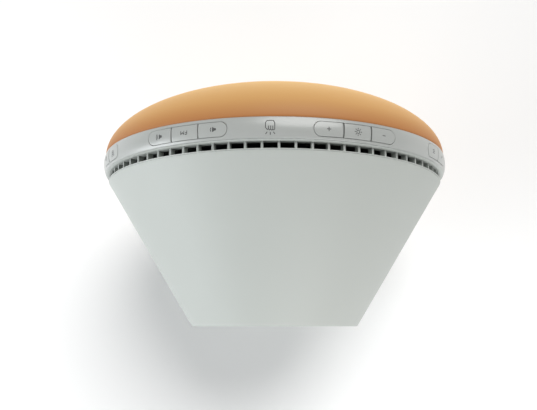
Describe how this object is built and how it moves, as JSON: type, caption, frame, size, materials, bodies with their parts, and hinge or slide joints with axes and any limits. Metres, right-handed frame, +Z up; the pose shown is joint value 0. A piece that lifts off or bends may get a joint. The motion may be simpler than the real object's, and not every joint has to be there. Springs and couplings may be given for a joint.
{
  "type": "sunrise alarm clock",
  "caption": "Round sunrise alarm clock with a lit dome, push keys in its rim, a ring of vents, a conical back with power inlet and loudspeaker, and a wedge foot.",
  "frame": {"origin": "middle of the clock's footprint box, at the height of the table", "axes": "+Z up, -Y towards the lit dome that faces the user, +X to the right of a user who looks at the dome"},
  "size_m": [0.184, 0.1353, 0.183],
  "materials": {
    "diffuser": "satin, translucent, lit from inside",
    "rim": "satin gloss",
    "keys": "satin gloss with printed signs",
    "shell": "fine matte",
    "vents": "fine matte",
    "black_plastic": "matte",
    "circuit_board": "solder mask",
    "board_chips": "moulded",
    "switches": "moulded",
    "heat_sink": "plain sheet",
    "light_chips": "clear resin over a yellow layer",
    "white_plastic": "matte white",
    "steel_screws": "zinc plated",
    "brass_fittings": "plain",
    "display": "dark filled front",
    "smoked_window": "smoked clear plastic",
    "foam": "open foam",
    "magnet": "plated",
    "paper_cone": "pressed",
    "rubber_pads": "matte",
    "lead_insulation": "smooth"
  },
  "bodies": {
    "housing": {"alarm_key_board": "circuit_board", "back_plate": "shell", "back_screws": "steel_screws", "board_parts": "board_chips", "board_spacers": "brass_fittings", "display": "display", "display_board": "circuit_board", "display_carrier": "black_plastic", "display_leads": "lead_insulation", "display_window": "smoked_window", "foot_pads": "rubber_pads", "foot_plate": "shell", "foot_screws": "steel_screws", "front_diffuser": "diffuser", "heat_spreader": "heat_sink", "inlet_nut": "steel_screws", "inlet_pin": "brass_fittings", "inlet_shell": "black_plastic", "key_switches": "switches", "light_board": "circuit_board", "light_key_board": "circuit_board", "light_leads": "lead_insulation", "light_screws": "steel_screws", "lights": "light_chips", "main_board": "circuit_board", "menu_key_board": "circuit_board", "mid_frame": "black_plastic", "power_leads": "lead_insulation", "rear_housing": "shell", "reflector": "white_plastic", "rim_band": "rim", "sound_key_board": "circuit_board", "speaker_basket": "black_plastic", "speaker_cone": "paper_cone", "speaker_gasket": "foam", "speaker_leads": "lead_insulation", "speaker_magnet": "magnet", "stand_foot": "shell", "vent_ring": "vents"},
    "volume_down_key": {"volume_down_key": "keys"},
    "radio_key": {"radio_key": "keys"},
    "volume_up_key": {"volume_up_key": "keys"},
    "light_up_key": {"light_up_key": "keys"},
    "lamp_key": {"lamp_key": "keys"},
    "light_down_key": {"light_down_key": "keys"},
    "alarm_one_key": {"alarm_one_key": "keys"},
    "alarm_two_key": {"alarm_two_key": "keys"},
    "menu_key": {"menu_key": "keys"},
    "select_key": {"select_key": "keys"}
  },
  "joints": [
    {"name": "volume_down_press", "type": "slide", "parent": "housing", "child": "volume_down_key", "axis": [-0.4131, -0.1893, -0.8908], "range_m": [0, 0.0006], "stiffness_N_per_m": 2500},
    {"name": "radio_press", "type": "slide", "parent": "housing", "child": "radio_key", "axis": [-0.4131, -0.1893, -0.8908], "range_m": [0, 0.0006], "stiffness_N_per_m": 2500},
    {"name": "volume_up_press", "type": "slide", "parent": "housing", "child": "volume_up_key", "axis": [-0.4131, -0.1893, -0.8908], "range_m": [0, 0.0006], "stiffness_N_per_m": 2500},
    {"name": "light_up_press", "type": "slide", "parent": "housing", "child": "light_up_key", "axis": [0.4131, -0.1893, -0.8908], "range_m": [0, 0.0006], "stiffness_N_per_m": 2500},
    {"name": "lamp_press", "type": "slide", "parent": "housing", "child": "lamp_key", "axis": [0.4131, -0.1893, -0.8908], "range_m": [0, 0.0006], "stiffness_N_per_m": 2500},
    {"name": "light_down_press", "type": "slide", "parent": "housing", "child": "light_down_key", "axis": [0.4131, -0.1893, -0.8908], "range_m": [0, 0.0006], "stiffness_N_per_m": 2500},
    {"name": "alarm_one_press", "type": "slide", "parent": "housing", "child": "alarm_one_key", "axis": [-0.8829, -0.0976, -0.4592], "range_m": [0, 0.0006], "stiffness_N_per_m": 2500},
    {"name": "alarm_two_press", "type": "slide", "parent": "housing", "child": "alarm_two_key", "axis": [-0.8829, -0.0976, -0.4592], "range_m": [0, 0.0006], "stiffness_N_per_m": 2500},
    {"name": "menu_press", "type": "slide", "parent": "housing", "child": "menu_key", "axis": [0.8829, -0.0976, -0.4592], "range_m": [0, 0.0006], "stiffness_N_per_m": 2500},
    {"name": "select_press", "type": "slide", "parent": "housing", "child": "select_key", "axis": [0.8829, -0.0976, -0.4592], "range_m": [0, 0.0006], "stiffness_N_per_m": 2500}
  ]
}
